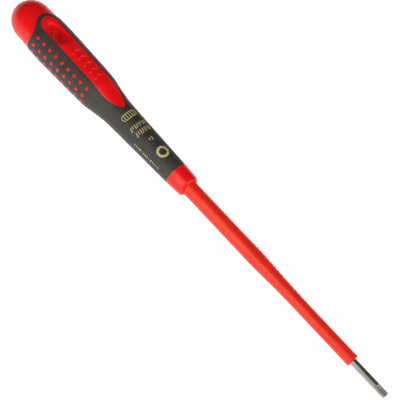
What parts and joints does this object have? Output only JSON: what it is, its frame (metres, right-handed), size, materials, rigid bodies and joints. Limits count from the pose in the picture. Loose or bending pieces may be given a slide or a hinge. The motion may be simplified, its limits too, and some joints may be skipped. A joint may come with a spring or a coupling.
{
  "type": "insulated screwdriver",
  "caption": "Insulated hex driver: a steel bar in a red insulating sleeve and a domed grip of black rubber over a red moulding, with a hanging hole.",
  "frame": {"origin": "centre of the flat end of the hex tip", "axes": "+X runs along the tool and out of the tip, +Z is square to the middle of one window of the grip, +Y completes a right-handed frame"},
  "size_m": [0.2208, 0.0188, 0.0184],
  "materials": {
    "blade_steel": "satin",
    "sleeve_plastic": "satin",
    "core_plastic": "matte",
    "shell_plastic": "gloss",
    "grip_rubber": "matte",
    "print_ink": "matte"
  },
  "bodies": {
    "root": {"blade": "blade_steel", "blade_insulation": "sleeve_plastic", "handle_core": "core_plastic", "handle_shell": "shell_plastic", "grip": "grip_rubber", "print_panel": "print_ink", "print_line_1": "print_ink", "print_line_2": "print_ink", "print_date_mark": "print_ink", "print_drive_sign": "print_ink", "print_edge_line": "print_ink"}
  },
  "joints": []
}
